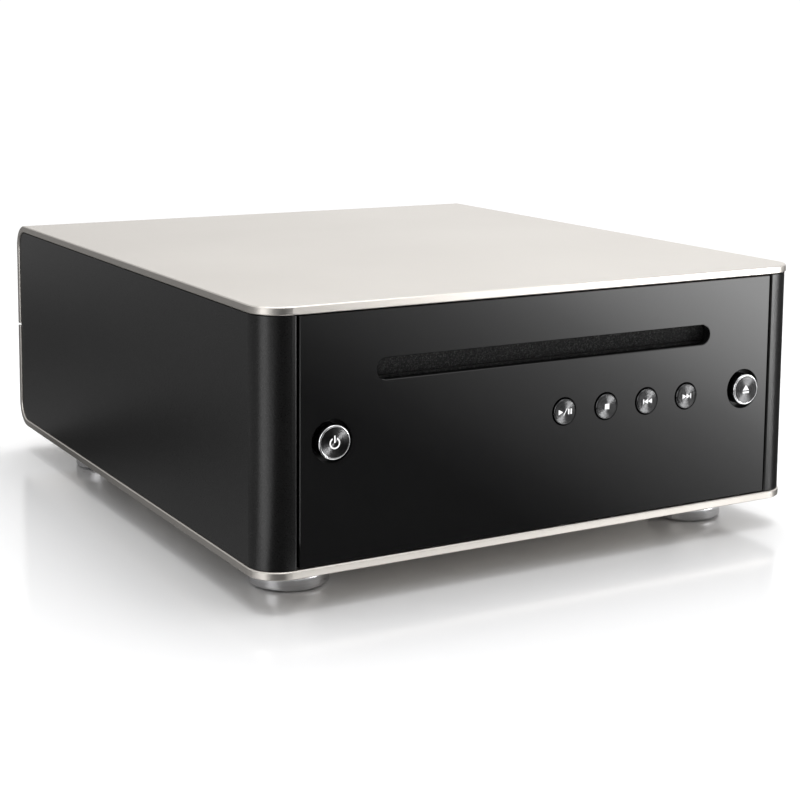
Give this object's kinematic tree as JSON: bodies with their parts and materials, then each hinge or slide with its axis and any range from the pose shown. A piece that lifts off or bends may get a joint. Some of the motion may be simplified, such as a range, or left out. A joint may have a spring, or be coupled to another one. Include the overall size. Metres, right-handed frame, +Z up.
{
  "type": "cd player",
  "caption": "Compact slot-loading disc player with an aluminium band, black sides, gloss fascia, round buttons, turned feet, and a working loading, clamping and pickup mechanism.",
  "frame": {"origin": "under the middle of the object, on the surface that it stands on", "axes": "+X to the right seen from the front, +Y from the front to the back, +Z up"},
  "size_m": [0.2, 0.24, 0.0905],
  "materials": {
    "champagne_aluminium": "bead blasted, clear anodised",
    "black_side_metal": "satin black coating",
    "gloss_black": "polished",
    "black_plastic": "fine texture",
    "black_felt": "short pile felt",
    "dark_chrome": "spun, dark",
    "bright_steel": "turned and polished",
    "pad_rubber": "matte",
    "screw_black": "black zinc",
    "screw_steel": "zinc plated",
    "sheet_steel": "zinc plated sheet",
    "damper_rubber": "matte",
    "mechanism_plastic": "moulded",
    "gear_plastic": "moulded",
    "motor_case": "drawn can",
    "steel_shaft": "ground",
    "roller_rubber": "matte",
    "spring_steel": "drawn wire",
    "circuit_board": "solder mask",
    "component_black": "moulded",
    "rear_black": "fine texture powder coat",
    "gold_plate": "gold plated",
    "insulator": "moulded",
    "lens_glass": "coated",
    "pin_brass": "nickel plated"
  },
  "bodies": {
    "case": {"top_cover": "champagne_aluminium", "bottom_cover": "champagne_aluminium", "left_side_panel": "black_side_metal", "right_side_panel": "black_side_metal", "front_fascia": "gloss_black", "front_subframe": "black_plastic", "slot_felts": "black_felt", "key_board": "circuit_board", "display_module": "gloss_black", "feet": "bright_steel", "foot_pads": "pad_rubber", "foot_screws": "screw_steel", "bottom_cover_screws": "screw_black", "chassis": "sheet_steel", "mechanism_base": "sheet_steel", "disc_guide_plate": "sheet_steel", "loading_motor": "motor_case", "traverse_plate": "sheet_steel", "mechanism_dampers": "damper_rubber", "mechanism_screws": "screw_steel", "guide_rods": "steel_shaft", "spindle_motor": "motor_case", "sled_motor": "motor_case", "main_board": "circuit_board", "power_board": "circuit_board", "board_screws": "screw_steel", "board_components": "component_black", "rear_panel": "rear_black", "rear_panel_screws": "screw_black", "jack_board": "circuit_board", "jack_block": "component_black", "phono_jacks": "gold_plate", "phono_insulators": "insulator", "optical_output": "component_black", "remote_jacks": "component_black", "mains_inlet": "component_black", "mains_inlet_pins": "pin_brass"},
    "power_button": {"power_button": "dark_chrome"},
    "eject_button": {"eject_button": "dark_chrome"},
    "play_pause_button": {"play_pause_button": "dark_chrome"},
    "stop_button": {"stop_button": "dark_chrome"},
    "previous_button": {"previous_button": "dark_chrome"},
    "next_button": {"next_button": "dark_chrome"},
    "mode_slide": {"mode_slide": "mechanism_plastic"},
    "roller_bracket": {"roller_bracket": "sheet_steel", "drive_belt": "roller_rubber"},
    "rollers": {"roller_shaft": "steel_shaft", "feed_rollers": "roller_rubber"},
    "pulley_gear": {"pulley_gear": "gear_plastic"},
    "reduction_gear": {"reduction_gear": "gear_plastic"},
    "motor_pinion": {"motor_pinion": "gear_plastic"},
    "clamp_arm": {"clamp_arm": "sheet_steel", "clamp_spring": "spring_steel"},
    "clamp_puck": {"clamp_puck": "mechanism_plastic"},
    "turntable": {"turntable": "mechanism_plastic"},
    "pickup_sled": {"pickup_sled": "mechanism_plastic"},
    "objective_lens": {"objective_lens": "lens_glass"},
    "sled_gear": {"sled_gear": "gear_plastic"},
    "sled_pinion": {"sled_pinion": "gear_plastic"},
    "optical_shutter": {"optical_shutter": "component_black"}
  },
  "joints": [
    {"name": "power_press", "type": "slide", "parent": "case", "child": "power_button", "axis": [0, 1, 0], "range_m": [0, 0.0008], "stiffness_N_per_m": 500, "springref_m": -0.001},
    {"name": "eject_press", "type": "slide", "parent": "case", "child": "eject_button", "axis": [0, 1, 0], "range_m": [0, 0.0008], "stiffness_N_per_m": 500, "springref_m": -0.001},
    {"name": "play_pause_press", "type": "slide", "parent": "case", "child": "play_pause_button", "axis": [0, 1, 0], "range_m": [0, 0.0008], "stiffness_N_per_m": 500, "springref_m": -0.001},
    {"name": "stop_press", "type": "slide", "parent": "case", "child": "stop_button", "axis": [0, 1, 0], "range_m": [0, 0.0008], "stiffness_N_per_m": 500, "springref_m": -0.001},
    {"name": "previous_press", "type": "slide", "parent": "case", "child": "previous_button", "axis": [0, 1, 0], "range_m": [0, 0.0008], "stiffness_N_per_m": 500, "springref_m": -0.001},
    {"name": "next_press", "type": "slide", "parent": "case", "child": "next_button", "axis": [0, 1, 0], "range_m": [0, 0.0008], "stiffness_N_per_m": 500, "springref_m": -0.001},
    {"name": "mode_slide_travel", "type": "slide", "parent": "case", "child": "mode_slide", "axis": [0, 1, 0], "range_m": [0, 0.008]},
    {"name": "roller_lift", "type": "hinge", "parent": "case", "child": "roller_bracket", "pos_m": [0, -0.083, 0.0605], "axis": [1, 0, 0], "range_deg": [0, 10]},
    {"name": "roller_spin", "type": "hinge", "parent": "roller_bracket", "child": "rollers", "pos_m": [0, -0.103, 0.0641], "axis": [1, 0, 0], "continuous": true},
    {"name": "pulley_gear_spin", "type": "hinge", "parent": "case", "child": "pulley_gear", "pos_m": [-0.078, -0.083, 0.0605], "axis": [1, 0, 0], "continuous": true},
    {"name": "reduction_gear_spin", "type": "hinge", "parent": "case", "child": "reduction_gear", "pos_m": [-0.076, -0.071, 0.04874], "axis": [1, 0, 0], "continuous": true},
    {"name": "motor_pinion_spin", "type": "hinge", "parent": "case", "child": "motor_pinion", "pos_m": [-0.075, -0.0518, 0.04874], "axis": [1, 0, 0], "continuous": true},
    {"name": "clamp_lower", "type": "hinge", "parent": "case", "child": "clamp_arm", "pos_m": [0, 0.04, 0.079], "axis": [1, 0, 0], "range_deg": [0, 2.94], "deforming": ["clamp_spring"]},
    {"name": "clamp_puck_spin", "type": "hinge", "parent": "clamp_arm", "child": "clamp_puck", "pos_m": [0, -0.036, 0.0765], "axis": [0, 0, 1], "continuous": true},
    {"name": "turntable_spin", "type": "hinge", "parent": "case", "child": "turntable", "pos_m": [0, -0.036, 0.0655], "axis": [0, 0, 1], "continuous": true},
    {"name": "sled_travel", "type": "slide", "parent": "case", "child": "pickup_sled", "axis": [0, 1, 0], "range_m": [0, 0.035]},
    {"name": "lens_focus", "type": "slide", "parent": "pickup_sled", "child": "objective_lens", "axis": [0, 0, 1], "range_m": [-0.0005, 0.0005], "stiffness_N_per_m": 20},
    {"name": "sled_gear_spin", "type": "hinge", "parent": "case", "child": "sled_gear", "pos_m": [0.0272, 0.005, 0.0635], "axis": [0, 0, 1], "range_deg": [-480, 1]},
    {"name": "sled_pinion_spin", "type": "hinge", "parent": "case", "child": "sled_pinion", "pos_m": [0.0392, 0.005, 0.064], "axis": [0, 0, 1], "range_deg": [-3, 1440]},
    {"name": "optical_shutter_open", "type": "hinge", "parent": "case", "child": "optical_shutter", "pos_m": [0.04, 0.1068, 0.054], "axis": [1, 0, 0], "range_deg": [-80, 0], "stiffness_Nm_per_rad": 0.0005, "springref_deg": 17.19}
  ],
  "couplings": [
    {"joint": "roller_lift", "follows": "mode_slide_travel", "rad_per_m": 21.817},
    {"joint": "clamp_lower", "follows": "mode_slide_travel", "rad_per_m": 6.4141},
    {"joint": "pulley_gear_spin", "follows": "roller_spin", "ratio": 1},
    {"joint": "reduction_gear_spin", "follows": "roller_spin", "ratio": -2.5},
    {"joint": "motor_pinion_spin", "follows": "roller_spin", "ratio": 7.5},
    {"joint": "sled_gear_spin", "follows": "sled_travel", "rad_per_m": -238.1},
    {"joint": "sled_pinion_spin", "follows": "sled_travel", "rad_per_m": 714.29}
  ]
}
